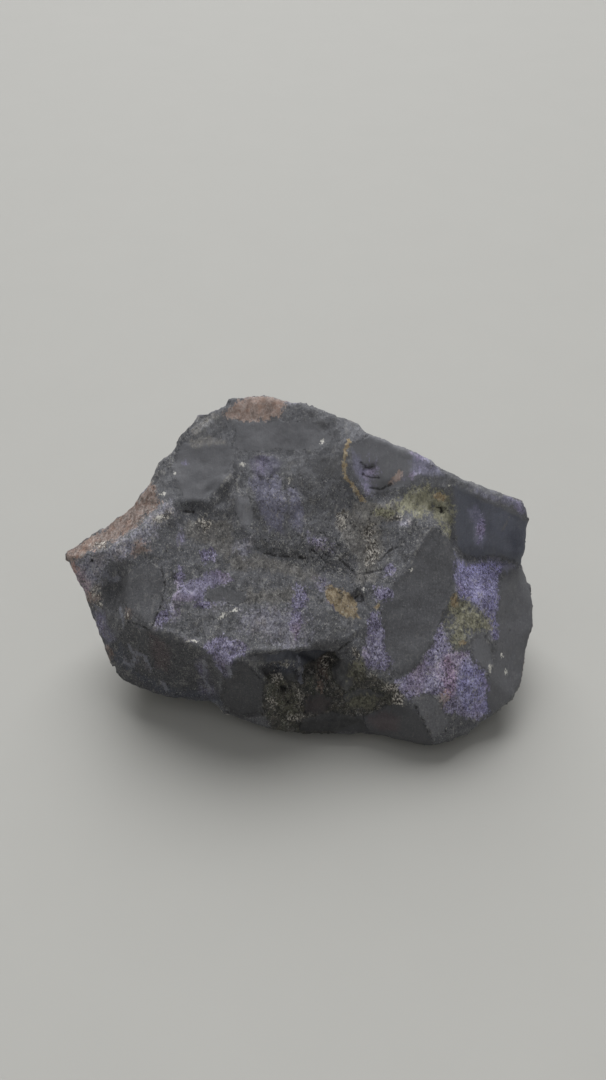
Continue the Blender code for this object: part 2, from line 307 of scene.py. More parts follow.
FILM_FIELDS = {
    "shelf": ((238, 612), (262, 606), (286, 608), (296, 596), (308, 600), (310, 636), (300, 648),
        (262, 640), (240, 630)),
    "beak_inner": ((66, 562), (98, 549), (120, 537), (142, 521), (158, 502), (173, 502), (178, 514),
        (158, 530), (142, 546), (125, 557), (111, 562), (101, 577), (98, 594), (84, 597), (68, 575)),
    "band": ((200, 604), (222, 603), (236, 608), (215, 612), (202, 610)),
}
OCHRE_FIELDS = {
    "wedge": ((325, 584), (338, 587), (350, 594), (358, 605), (357, 620), (346, 619), (334, 608),
        (325, 597)),
}
RUST_FIELDS = {
    "beak": ((60, 556), (75, 545), (100, 531), (125, 511), (140, 497), (149, 478), (156, 490), (160, 502),
        (142, 519), (120, 536), (98, 550), (70, 561)),
    "crest": ((224, 413), (236, 402), (250, 397), (275, 396), (285, 402), (279, 415), (262, 420),
        (240, 421), (226, 417)),
}
TAN_FIELDS = {
    "crest_left": ((190, 430), (204, 417), (222, 409), (223, 417), (208, 426), (194, 434)),
    "column": ((340, 508), (378, 508), (384, 545), (378, 585), (352, 585), (356, 560), (336, 530)),
    "slope": ((224, 560), (236, 552), (262, 556), (300, 566), (330, 580), (305, 582), (262, 570),
        (232, 572)),
    "shelf_middle": ((248, 590), (290, 585), (320, 600), (300, 605), (262, 604), (246, 604)),
    "left_mass": ((186, 520), (232, 520), (236, 545), (226, 562), (206, 548), (184, 540)),
    "streak": ((186, 440), (224, 436), (226, 444), (190, 448)),
    "fan_ridge": ((446, 655), (454, 655), (456, 690), (448, 704), (442, 700)),
    "under_vein": ((352, 500), (400, 500), (398, 520), (372, 528), (356, 515)),
}
MUDDY_FIELDS = {
    "front_crust": ((264, 672), (282, 676), (304, 664), (335, 656), (362, 672), (398, 684), (404, 702),
        (366, 716), (330, 742), (276, 738), (262, 712)),
}
RED_FIELDS = {
    "fan_pink": ((442, 655), (452, 652), (458, 670), (457, 690), (451, 704), (442, 694), (438, 675)),
    "mud_facet": FACETS["mud_facet"],
    "front_left": ((146, 630), (166, 638), (174, 655), (170, 674), (152, 664)),
    "bottom_facet": ((364, 716), (385, 710), (402, 716), (398, 736), (378, 734)),
    "tip": ((66, 560), (84, 566), (96, 590), (84, 596), (70, 578)),
}
COOL_FIELDS = {
    "fin": FACETS["fin"],
    "front_low": ((100, 655), (122, 668), (150, 692), (180, 700), (224, 705), (222, 690), (180, 690),
        (140, 672), (120, 640)),
    "lip_foot": ((214, 655), (240, 652), (236, 668), (226, 680), (216, 668)),
    "recess": ((264, 654), (330, 652), (320, 668), (296, 676), (266, 668)),
}
VIOLET_FIELDS = {
    "right_wall": PURPLE_FIELDS["right_wall"],
    "fan_right": ((460, 660), (487, 672), (490, 692), (489, 714), (468, 714), (456, 690)),
}
ZONES = {
    "purple_field": PURPLE_FIELDS, "haze": HAZE_FIELDS, "film_field": FILM_FIELDS,
    "rust_field": RUST_FIELDS, "ochre_field": OCHRE_FIELDS, "tan": TAN_FIELDS,
    "muddy": MUDDY_FIELDS, "red": RED_FIELDS, "cool": COOL_FIELDS, "violet": VIOLET_FIELDS,
    "scar": FACETS,
}

# Outlines with a share that scales the colour beneath them, against the rest of the stone. The
# shares below 1 in the recess and the lens under the lip, the crevice at the mass's foot, the left
# hollow, the front faces, the fin's foot, the low facets, the foot and the bottom are painted shade;
# the other shares make the rock paler or darker there.
TONES_AND_SHADE = {
    "fin_light": (((492, 512), (508, 511), (513, 530), (502, 540), (490, 532)), 1.18),
    "crest": (RUST_FIELDS["crest"], 0.93),
    "lower_olive": (((452, 598), (466, 600), (480, 612), (492, 626), (484, 640), (462, 646), (450, 630)),
        1.18),
    "wedge": (OCHRE_FIELDS["wedge"], 0.78),
    "fan_light": (((466, 674), (474, 666), (488, 676), (487, 690), (474, 690)), 1.12),
    "shelf_rock": (((240, 600), (300, 590), (345, 640), (330, 650), (250, 648)), 0.97),
    "brown_facet": (FACETS["brown_facet"], 0.85),
    "crest_left": (TAN_FIELDS["crest_left"], 1.85),
    "fin_stripe": (HAZE_FIELDS["fin_stripe"], 1.3),
    "low_facet": (FACETS["low_facet"], 0.52),
    "mud_facet": (FACETS["mud_facet"], 0.42),
    "under_lens": (FACETS["under_lens"], 0.56),
    "olive_lens": (FACETS["olive_lens"], 0.68),
    "rim": (HAZE_FIELDS["rim"], 1.22),
    "wall_top": (HAZE_FIELDS["wall_top"], 1.5),
    "right_wall": (PURPLE_FIELDS["right_wall"], 1.1),
    "fan": (PURPLE_FIELDS["fan"], 1.18),
    "front_streak": (HAZE_FIELDS["front_streak"], 1.04),
    "bloom_lens": (FACETS["bloom_lens"], 1.18),
    "tongue": (FACETS["tongue"], 1.17),
    "tan_streak": (TAN_FIELDS["streak"], 1.3),
    "eye_high": (((359, 459), (367, 464), (378, 461), (374, 470), (364, 469)), 0.55),
    "eye_low": (((366, 477), (380, 478), (395, 483), (386, 493), (370, 488)), 0.72),
    "leaf": (FACETS["leaf"], 0.76),
    "left_green": (FACETS["left_green"], 0.84),
    "shelf_lens": (FACETS["shelf_lens"], 0.7),
    "lobe": (FACETS["lobe"], 0.96),
    "grey_bump": (FACETS["grey_bump"], 1.15),
    "strip": (PURPLE_FIELDS["strip"], 0.80),
    "shelf_band": (PURPLE_FIELDS["shelf_band"], 0.74),
    "shelf": (FILM_FIELDS["shelf"], 0.87),
    "lip": (PURPLE_FIELDS["lip"], 0.85),
    "upper_bloom": (HAZE_FIELDS["upper_bloom"], 0.6),
    "beak_inner": (FILM_FIELDS["beak_inner"], 1.35),
    "beak": (RUST_FIELDS["beak"], 0.78),
    "under_vein": (((352, 500), (400, 500), (420, 512), (398, 528), (372, 530), (356, 515)), 1.68),
    "upper_olive": (((392, 500), (410, 492), (445, 495), (450, 515), (430, 516), (400, 512)), 1.24),
    "notch": (((336, 420), (358, 420), (366, 438), (350, 444), (338, 436)), 1.35),
    "plateau": (((340, 424), (372, 430), (440, 462), (450, 484), (400, 500), (370, 498), (350, 478)),
        1.26),
    "leaf_shoulder": (((372, 530), (400, 515), (432, 525), (415, 552), (398, 570), (380, 560)), 1.18),
    "fin": (FACETS["fin"], 1.2),
    "fin_top": (((455, 480), (520, 500), (532, 522), (500, 507), (470, 494)), 1.2),
    "mass": (((236, 455), (300, 455), (345, 470), (352, 540), (300, 545), (250, 540), (236, 500)), 1.27),
    "column": (TAN_FIELDS["column"], 1.22),
    "recess": (((250, 654), (330, 652), (338, 657), (328, 669), (298, 663), (262, 661)), 0.62),
    "recess_right": (((303, 652), (340, 650), (345, 668), (330, 690), (308, 676)), 0.80),
    "mass_foot": (((255, 540), (285, 552), (308, 556), (308, 562), (280, 562), (256, 550)), 0.7),
    "left_hollow": (((100, 588), (122, 580), (127, 602), (118, 616), (104, 606)), 0.62),
    "foot": (((290, 722), (365, 718), (368, 742), (290, 742)), 0.60),
    "front_left": (((128, 622), (150, 630), (185, 642), (212, 662), (222, 700), (180, 700), (120, 690),
        (105, 655)), 0.66),
    "front_crust": (((262, 664), (335, 656), (362, 672), (398, 684), (404, 704), (364, 716), (330, 742),
        (270, 736)), 0.82),
    "front_facet": (((222, 664), (245, 658), (264, 682), (266, 714), (240, 722), (222, 706)), 0.50),
    "fin_foot": (((460, 545), (500, 548), (530, 556), (527, 570), (500, 558), (466, 557)), 0.84),
    "bottom": (((364, 716), (385, 708), (404, 704), (418, 712), (432, 738), (434, 756), (400, 750),
        (368, 740)), 0.56),
}
# Outlines with the strength of their fine grain, against the rest of the stone
GRITS = {
    "upper_olive": (((392, 500), (410, 492), (452, 490), (456, 535), (440, 524), (400, 514)), 0.55),
    "far_top": (((150, 500), (185, 440), (240, 390), (300, 390), (450, 455), (540, 510), (530, 525),
        (450, 486), (375, 490), (345, 478), (236, 470), (200, 502)), 0.50),
    "fin": (FACETS["fin"], 0.8),
    "leaf": (FACETS["leaf"], 1.5),
    "left_green": (FACETS["left_green"], 1.8),
    "tongue": (FACETS["tongue"], 1.8),
    "column": (((336, 512), (352, 505), (380, 512), (384, 545), (378, 590), (352, 590), (340, 560)), 1.2),
    "mass_foot": (((262, 540), (336, 530), (358, 578), (300, 572)), 1.6),
    "front": (((262, 655), (340, 650), (366, 668), (404, 700), (330, 742), (262, 712)), 1.3),
    "front_left": (((105, 620), (150, 630), (212, 662), (222, 700), (120, 690)), 1.3),
    "front_facet": (FACETS["front_facet"], 2.0),
    "shelf_band": (PURPLE_FIELDS["shelf_band"], 0.6),
}
# Outlines pressed in or lifted, each with its depth
PRESSED = {
    "recess": (((252, 655), (330, 653), (337, 658), (328, 668), (298, 662), (264, 660)), 1.3),
    "recess_right": (((304, 654), (334, 653), (338, 664), (322, 676), (308, 668)), 0.8),
    "facet_hollow": (((214, 488), (234, 474), (238, 500), (228, 516), (205, 512), (205, 500)), -0.5),
    "crust_hole": (((278, 686), (292, 684), (296, 694), (284, 698)), 0.6),
    "mass_hole": (((300, 505), (318, 500), (326, 512), (312, 522), (300, 516)), 0.4),
}

# Lines through sightings
VEINS = {
    "plateau": ((349, 440), (345, 450), (344, 465), (345, 477), (352, 484), (360, 497), (364, 500)),
}
# Cracks, gaps and the line under the ledge, grooved in and painted near-black as their shade
SHADED_CRACKS = {
    "leaf_gap": ((378, 562), (388, 553), (397, 546)),
    "pit_gap": ((362, 574), (374, 571), (384, 569)),
    "left_gap": ((184, 511), (194, 512)),
    "pit_ring_top": ((355, 598), (359, 595), (363, 598)),
    "pit_ring_foot": ((356, 601), (360, 603), (364, 600)),
    "ochre_gap": ((339, 590), (343, 596), (340, 600)),
    "under_ledge": ((258, 656), (275, 652), (300, 652), (322, 652), (334, 655)),
    "crevice": ((337, 651), (347, 644), (358, 636)),
    "green_right": ((161, 566), (165, 580), (162, 603), (152, 626)),
    "green_foot": ((128, 622), (138, 625), (149, 629)),
    "hatch_far": ((264, 553), (285, 556), (308, 559)),
    "hatch_first": ((312, 548), (320, 557), (328, 564)),
    "hatch_third": ((332, 550), (344, 563), (353, 571)),
    "hatch_short": ((322, 550), (329, 557)),
    "eye_high": ((361, 462), (366, 468), (373, 466)),
    "eye_middle": ((363, 474), (371, 478), (380, 478)),
    "eye_low": ((370, 488), (382, 489), (391, 484)),
    "olive_hole": ((437, 508), (443, 508), (447, 511)),
    "tongue_edge": ((415, 705), (424, 722), (430, 738)),
}
# Pale lines along ledge and facet edges: painted highlights
HIGHLIGHT_LINES = {
    "bloom_top": ((250, 457), (260, 454), (272, 455)),
    "facet_foot": ((222, 486), (226, 479), (231, 474)),
    "bloom_left": ((239, 493), (237, 484), (239, 477)),
    "leaf_edge": ((412, 563), (418, 548), (424, 535), (432, 527)),
    "ledge_left": ((247, 661), (256, 666), (264, 678)),
    "ledge_right": ((250, 661), (270, 664), (298, 663)),
    "fin_chip": ((502, 532), (506, 524), (509, 517)),
}
STROKES = {
    "wishbone_left": ((129, 645), (135, 655), (133, 666)),
    "wishbone_right": ((136, 652), (145, 657), (151, 668)),
    "wishbone_low": ((124, 662), (130, 665)),
    "front_dash": ((163, 681), (166, 690)),
    "recess_fold": ((300, 662), (302, 672), (300, 682)),
    "lip_drip_left": ((204, 662), (204, 680), (210, 692)),
    "lip_drip_right": ((228, 664), (230, 676)),
    "hollow_high": ((105, 573), (111, 580), (119, 579)),
    "hollow_foot": ((120, 608), (124, 618), (123, 626)),
    "edge_high": ((96, 606), (103, 613)),
}
RIDGES = {
    "shelf_lip_left": ((150, 629), (172, 633), (187, 640), (204, 649), (216, 661), (224, 665)),
    "shelf_lip": ((224, 665), (233, 660), (246, 654), (264, 650), (300, 650), (332, 650)),
    "shelf_lip_right": ((332, 650), (345, 639), (356, 631), (366, 624)),
    "leaf_left": ((433, 527), (418, 549), (411, 566), (389, 588), (382, 605), (383, 640), (394, 671)),
    "leaf_right": ((436, 527), (450, 545), (456, 575), (455, 592), (443, 612), (432, 643)),
    "fin_top": ((453, 486), (475, 495), (500, 507), (528, 520)),
    "front_corner": ((226, 664), (222, 684), (223, 706)),
    "crust_corner": ((262, 664), (266, 690), (264, 714)),
    "tongue_left": ((408, 700), (416, 712), (426, 728), (434, 746)),
    "ledge_lens": ((340, 700), (362, 694), (388, 698), (402, 704)),
}
LINES = {"vein": VEINS, "crack": SHADED_CRACKS, "pale_line": HIGHLIGHT_LINES, "stroke": STROKES}
# Each row: the pixel across and down, and the radius in millimetres
# Pits: pressed into the mesh, their insides painted near-black as painted shade
PITS = {
    "ochre_pit": (360, 600, 0.3),
    "lobe_pit": (511, 630, 0.4),
    "crust_pit": (285, 691, 1.1),
    "crust_pit_low": (290, 703, 0.7),
    "shell_pit": (226, 714, 0.8),
    "olive_pit": (443, 508, 0.9),
    "lip_pit": (215, 651, 0.6),
    "beak_pit": (91, 561, 0.5),
}

# The fields that the material reads
SHOWN_FIELDS = (*PATCHES, *ZONES, *LINES, "white", "pit", "tone", "grit", "raised", "unseen")


# ---------------------------------------------------------------- colours

# Each finish's colours from its darkest to its palest: where each stands, then red, green, blue
RAMPS = {
    "rock": ((0.12, (0.034, 0.035, 0.042)), (0.42, (0.106, 0.109, 0.123)),
        (0.60, (0.148, 0.150, 0.162)), (0.88, (0.29, 0.288, 0.28))),
    "facet": ((0.2, (0.081, 0.083, 0.093)), (0.5, (0.126, 0.128, 0.141)),
        (0.8, (0.17, 0.171, 0.183))),
    "tan": ((0.15, (0.08, 0.076, 0.068)), (0.5, (0.180, 0.168, 0.148)), (0.85, (0.44, 0.41, 0.36))),
    "muddy": ((0.15, (0.020, 0.020, 0.020)), (0.38, (0.060, 0.058, 0.053)),
        (0.58, (0.130, 0.121, 0.102)), (0.75, (0.26, 0.235, 0.195)), (0.92, (0.45, 0.41, 0.35))),
    "haze": ((0.25, (0.100, 0.098, 0.142)), (0.5, (0.175, 0.172, 0.245)),
        (0.8, (0.29, 0.285, 0.385))),
    "purple": ((0.22, (0.040, 0.035, 0.060)), (0.38, (0.160, 0.144, 0.228)),
        (0.52, (0.270, 0.248, 0.390)), (0.66, (0.40, 0.38, 0.545)), (0.82, (0.62, 0.60, 0.74))),
    "film": ((0.15, (0.06, 0.058, 0.08)), (0.40, (0.21, 0.206, 0.265)),
        (0.60, (0.33, 0.325, 0.395)), (0.85, (0.62, 0.61, 0.65))),
    "rust": ((0.12, (0.08, 0.062, 0.058)), (0.34, (0.27, 0.180, 0.148)),
        (0.52, (0.38, 0.285, 0.245)), (0.68, (0.46, 0.385, 0.355)), (0.88, (0.76, 0.72, 0.66))),
    "olive": ((0.22, (0.035, 0.034, 0.026)), (0.38, (0.158, 0.151, 0.110)),
        (0.52, (0.285, 0.277, 0.190)), (0.68, (0.42, 0.405, 0.29)), (0.85, (0.62, 0.60, 0.46))),
    "ochre": ((0.25, (0.06, 0.044, 0.028)), (0.40, (0.22, 0.160, 0.095)),
        (0.56, (0.36, 0.285, 0.180)), (0.80, (0.60, 0.52, 0.38))),
    "cream": ((0.30, (0.030, 0.027, 0.025)), (0.50, (0.100, 0.088, 0.078)),
        (0.60, (0.34, 0.310, 0.275)), (0.68, (0.78, 0.74, 0.67))),
    "table": ((0.0, (0.415, 0.412, 0.390)), (1.0, (0.440, 0.437, 0.414))),
}
# Each finish's crumbs: their middle shade and contrast, then how many there are in a millimetre,
# the noise's octaves and roughness, and its seed
CRUMBS = {
    "tan": (0.5, 0.6, 2.2, 4, 0.7, 73.0),
    "muddy": (0.45, 0.50, 1.8, 5, 0.75, 81.0),
    "haze": (0.5, 0.35, 2.6, 3, 0.7, 75.0),
    "purple": (0.52, 0.52, 3.3, 3, 0.75, 11.0),
    "film": (0.5, 0.6, 3.2, 3, 0.7, 65.0),
    "rust": (0.52, 0.50, 1.9, 4, 0.7, 31.0),
    "olive": (0.53, 0.50, 2.2, 4, 0.75, 21.0),
    "ochre": (0.54, 0.34, 2.2, 3, 0.7, 41.0),
    "cream": (0.55, 0.55, 3.4, 2, 0.6, 51.0),
}
# Each noise's features in a millimetre, its octaves, its roughness and its seed
NOISES = {
    "wide": (0.55, 4, 0.65, 61.0),
    "ragged": (2.0, 4, 0.7, 62.0),
    "slow_grey": (0.13, 3, 0.6, 1.0),
    "fast_grey": (1.1, 5, 0.7, 2.0),
    "fine_grey": (4.4, 3, 0.75, 3.0),
    "facet_stripe": (3.4, 3, 0.6, 4.0),
    "haze_stripe": (1.6, 4, 0.7, 74.0),
    "purple_swell": (0.45, 2, 0.5, 12.0),
    "speck_cluster": (0.3, 2, 0.5, 69.0),
    "edge_highlight": (0.9, 3, 0.65, 78.0),
    "split": (0.7, 3, 0.65, 83.0),
    "white_fray": (3.6, 3, 0.7, 85.0),
    "fine_bump": (2.4, 4, 0.7, 71.0),
    "coarse_bump": (0.9, 4, 0.65, 72.0),
}
# The same for noises that lay spots, then the heights at which a spot starts and is whole
SPOTS = {
    "warm_rock": (0.22, 2, 0.5, 5.0, 0.1, 0.9),
    "olive_mud": (0.45, 3, 0.6, 82.0, -0.1, 0.5),
    "pink_purple": (0.22, 2, 0.5, 14.0, 0.0, 0.8),
    "purple_hole": (3.2, 2, 0.6, 13.0, 0.30, 0.44),
    "warm_film": (0.5, 3, 0.6, 77.0, -0.1, 0.5),
    "orange_rust": (0.5, 3, 0.6, 32.0, -0.1, 0.6),
    "red": (0.16, 2, 0.5, 63.0, 0.1, 0.8),
    "speck": (3.4, 2, 0.5, 68.0, 0.50, 0.56),
    "glint": (5.0, 1, 0.5, 76.0, 0.44, 0.52),
    "edge_highlight": (0.8, 2, 0.5, 79.0, 0.15, 0.45),
    "hole": (3.2, 2, 0.5, 70.0, 0.40, 0.48),
    "split": (0.7, 2, 0.5, 84.0, 0.0, 0.3),
}
# Patches laid by chance where the camera doesn't see: in a millimetre, seed, start and whole
STREWN = {
    "purple": (0.10, 64.0, 0.18, 0.5),
    "rust": (0.11, 66.0, 0.32, 0.6),
    "olive": (0.12, 67.0, 0.36, 0.6),
}
# How far each kind of patch bends and frays at its edge, and the depths at which it starts and
# is whole
EDGES = {
    "cool": (0.6, 0.4, -0.4, 0.8),
    "tan": (1.0, 0.9, -0.3, 0.8),
    "muddy": (0.6, 0.8, -0.4, 0.4),
    "scar": (0.0, 0.5, -0.1, 0.3),
    "faint_purple": (0.7, 0.9, 0.0, 1.0),
    "pale_film": (0.6, 1.1, -0.1, 0.7),
    "film_field": (1.6, 3.0, -0.2, 1.2),
    "strong_purple": (0.5, 0.8, -0.05, 0.35),
    "purple_field": (0.5, 1.1, -0.25, 0.35),
    "violet": (0.6, 0.0, -0.5, 0.5),
    "rust": (0.6, 1.2, -0.15, 0.5),
    "rust_field": (0.8, 1.2, -0.3, 0.3),
    "olive": (0.6, 1.1, -0.15, 0.45),
    "ochre": (0.4, 0.6, -0.1, 0.3),
    "ochre_field": (0.4, 0.8, -0.1, 0.3),
    "red": (0.8, 0.8, -0.4, 1.2),
    "cream": (0.3, 1.4, 0.0, 0.5),
    "pit": (0.0, 0.6, 0.1, 0.6),
}
# Each kind of line's reach to either side, how far it frays and the width over which it fades
LINE_EDGES = {
    "vein": (0.46, 0.6, 0.25),
    "stroke": (0.50, 0.6, 0.2),
    "pale_line": (0.27, 0.4, 0.2),
    "crack": (0.29, 0.30, 0.2),
}
# Plain colours. The near-black one of the cracks and pits is painted shade, the pale one of the lines
# along edges painted highlight, and the speck colour serves pale grains, painted glints and painted edge
# highlights
PLAIN = {
    "warm_rock": (0.150, 0.141, 0.114),
    "purple_hole": (0.035, 0.030, 0.052),
    "stroke": (0.215, 0.220, 0.260),
    "speck": (0.40, 0.39, 0.37),
    "hole": (0.028, 0.027, 0.030),
    "pale_line": (0.25, 0.245, 0.235),
    "white": (0.72, 0.70, 0.65),
    "crack": (0.012, 0.011, 0.013),
}
# How much of a colour's red, green and blue each tint leaves
TINTS = {
    "cool_rock": (0.92, 0.97, 1.11),
    "olive_mud": (0.90, 1.0, 0.84),
    "pink_purple": (1.10, 0.98, 0.92),
    "warm_film": (1.05, 0.97, 0.84),
    "violet": (0.93, 0.95, 1.10),
    "orange_rust": (1.05, 0.90, 0.80),
    "red": (1.16, 0.94, 0.93),
}


# ---------------------------------------------------------------- places on the stone

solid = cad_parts[NODE]
solid_tree = BVHTree.FromPolygons(
    [point.co / MM for point in solid.data.vertices],
    [face.vertices for face in solid.data.polygons])


def on_stone(across, down):
    """Where the line of sight through a pixel meets the solid stone, or passes closest to it."""
    aim = AHEAD + RIGHT * ((across - FRAME_WIDE / 2) / PIXELS_A_UNIT)
    aim += UPWARD * ((FRAME_HIGH / 2 - down) / PIXELS_A_UNIT)
    aim.normalize()
    hit = solid_tree.ray_cast(EYE, aim)[0]
    if hit is None:
        abreast = EYE + aim * (HEART - EYE).dot(aim)
        hit = solid_tree.find_nearest(abreast)[0]
    return hit


def patch_depth(patch, places):
    """How deep in one egg-shaped patch each place lies: 1 at its middle, 0 on its rim."""
    across, down, half_wide, half_high, turn = patch
    angle = math.radians(turn)
    along = RIGHT * math.cos(angle) + UPWARD * math.sin(angle)
    upright = UPWARD * math.cos(angle) - RIGHT * math.sin(angle)
    sizes = (half_wide, half_high, PATCH_REACH * (half_wide + half_high) / 2)
    basis = np.array((along, upright, AHEAD)).T
    local = (places - np.array(on_stone(across, down))) @ basis
    return 1 - np.linalg.norm(local / sizes, axis=1)


def depth_in(table, places):
    """The deepest that each place lies in any patch of a table."""
    return np.max([patch_depth(patch, places) for patch in table.values()], axis=0)


def to_segment(places, start, end):
    """Distance from each place to a straight line between two points."""
    along = end - start
    share = np.clip((places - start) @ along / (along @ along), 0, 1)
    return np.linalg.norm(places - start - share[:, None] * along, axis=1)


def seen_at(places):
    """Where the camera sees each place: the pixel across and down."""
    away = places - np.array(EYE)
    scale = PIXELS_A_UNIT / (away @ np.array(AHEAD))
    across = FRAME_WIDE / 2 + scale * (away @ np.array(RIGHT))
    down = FRAME_HIGH / 2 - scale * (away @ np.array(UPWARD))
    return np.stack((across, down), axis=1)


def within_outline(outline, sights):
    """How many millimetres inside an outline each sight lies; less than 0 outside it."""
    corners = np.array(outline, float)
    following = np.roll(corners, -1, axis=0)
    edge = np.min([to_segment(sights, a, b) for a, b in zip(corners, following)], axis=0)
    crossings = np.zeros(len(sights), int)
    for a, b in zip(corners, following):
        spans = (a[1] > sights[:, 1]) != (b[1] > sights[:, 1])
        slope = (b[0] - a[0]) / (b[1] - a[1]) if b[1] != a[1] else 0.0
        crossings += spans & (sights[:, 0] < a[0] + slope * (sights[:, 1] - a[1]))
    return np.where(crossings % 2 == 1, edge, -edge) / PIXELS_A_MM


def within_any(table, sights):
    """How far inside the deepest of a table's outlines each sight lies."""
    return np.max([within_outline(outline, sights) for outline in table.values()], axis=0)


def shares_of(table, sights, hidden):
    """The product of the shares of all outlines that each sight lies in, 1 outside them."""
    product = np.ones(len(sights))
    for outline, share in table.values():
        depth = within_outline(outline, sights) - HIDDEN_DROP * hidden
        inside = step(-OUTLINE_BLUR, OUTLINE_BLUR, depth)
        product *= 1 + (share - 1) * inside
    return product


def to_line(line, places):
    """Distance from each place to a line through sightings."""
    points = [np.array(on_stone(*sighting)) for sighting in line]
    return np.min([to_segment(places, a, b) for a, b in zip(points, points[1:])], axis=0)


def to_lines(table, places):
    """Distance from each place to the nearest line of a table."""
    return np.min([to_line(line, places) for line in table.values()], axis=0)


def pit_depth(pit, places):
    """How deep in one round pit each place lies: 1 at its middle, 0 on its rim."""
    across, down, radius = pit
    return 1 - np.linalg.norm(places - np.array(on_stone(across, down)), axis=1) / radius


def step(low, high, values):
    """0 at low, 1 at high, an even curve between and level past them."""
    share = np.clip((values - low) / (high - low), 0, 1)
    return share * share * (3 - 2 * share)


# ---------------------------------------------------------------- the worked surface

noise.seed_set(NOISE_SEED)


def cloud(places, size, octaves=3, seed=0.0):
    """Fractal noise about 0 whose largest features have the given size."""
    shift = Vector((seed, 2 * seed, 3 * seed))
    return np.array([noise.fractal(Vector(p) / size + shift, 0.6, 2.0, octaves) for p in places])


def drift(places, size, amount, seed=0.0):
    """The places, each moved a little in a smoothly changing direction."""
    shift = Vector((seed, seed, seed))
    moves = [noise.noise_vector(Vector(p) / size + shift) for p in places]
    return places + amount * np.array(moves)


def scallops(places, size, seed=0.0):
    """Dents with sharp ridges between them, as chipping leaves: below 0 in a dent."""
    shift = Vector((seed, 0, 2 * seed))
    near = [noise.voronoi(Vector(p) / size + shift)[0][0] for p in places]
    return np.minimum(np.array(near), 1) ** 2 - SCALLOP_MEAN


def cleavage(places, size, seed=0.0):
    """Small flat facets, each tilted its own way, with steps between them."""
    shift = Vector((seed, 3 * seed, 0))
    heights = []
    for place in places:
        here = Vector(place) / size + shift
        middle = noise.voronoi(here)[1][0]
        lean = noise.noise_vector(middle * 5.3)
        heights.append((here - middle).dot(lean))
    return np.array(heights)


def fine_copy(source, name):
    """The solid again as a dense, even mesh whose flat triangles are softened away."""
    rough = bpy.data.objects.new(name, source.data.copy())
    bpy.context.scene.collection.objects.link(rough)
    remesh = rough.modifiers.new("fine", "REMESH")
    remesh.mode = "VOXEL"
    remesh.voxel_size = GRAIN_SIZE * MM
    soften = rough.modifiers.new("soften", "SMOOTH")
    soften.iterations = SOFTENING
    dense = bpy.data.meshes.new_from_object(
        rough.evaluated_get(bpy.context.evaluated_depsgraph_get()))
    rough.modifiers.clear()
    rough.data = dense
    dense.materials.clear()
    return rough


def points_of(mesh):
    """A mesh's points, in millimetres."""
    flat = np.empty(len(mesh.vertices) * 3)
    mesh.vertices.foreach_get("co", flat)
    return flat.reshape(-1, 3) / MM


def normals_of(mesh):
    flat = np.empty(len(mesh.vertices) * 3)
    mesh.vertex_normals.foreach_get("vector", flat)
    return flat.reshape(-1, 3)


def unseen(places, normals):
    """1 on the sides that the camera doesn't see, where the minerals are laid by chance."""
    towards = np.array(EYE) - places
    towards /= np.linalg.norm(towards, axis=1)[:, None]
    return step(0.05, -0.3, np.sum(towards * normals, axis=1))


def outline_fields(places, hidden):
    """How deep each place is in each kind of outline, and the shares that outlines give it."""
    sights = seen_at(drift(drift(places, 3.0, 0.5), 0.9, 0.3, 5.0))
    drop = HIDDEN_DROP * hidden
    fields = {name: within_any(table, sights) - drop for name, table in ZONES.items()}
    broken = hidden * 5 * cloud(places, 13.0, 2, 15.0) - 1.0
    fields["scar"] = np.maximum(fields["scar"], broken)
    for name, (outline, _) in PRESSED.items():
        fields["pressed_" + name] = within_outline(outline, sights) - drop
    # The tone: shares of the colour, painted shade among them
    fields["tone"] = shares_of(TONES_AND_SHADE, sights, hidden)
    fields["grit"] = shares_of(GRITS, sights, hidden)
    return fields


def layer_fields(places, normals):
    """What the material and the relief read about each place."""
    strayed = drift(drift(places, 3.0, 0.8), 0.9, 0.35, 4.0)
    near = drift(places, 1.5, 0.25)
    hidden = unseen(places, normals)
    fields = {name: depth_in(table, strayed) for name, table in PATCHES.items()}
    fields["white"] = depth_in(WHITE, drift(places, 0.8, 0.2))
    fields["pit"] = np.max([pit_depth(pit, strayed) for pit in PITS.values()], axis=0)
    for name, table in LINES.items():
        fields[name] = to_lines(table, near)
    fields["ridge"] = to_lines(RIDGES, places)
    fields["unseen"] = hidden
    fields.update(outline_fields(places, hidden))
    return {name: np.clip(values, -FIELD_LIMIT, FIELD_LIMIT) for name, values in fields.items()}


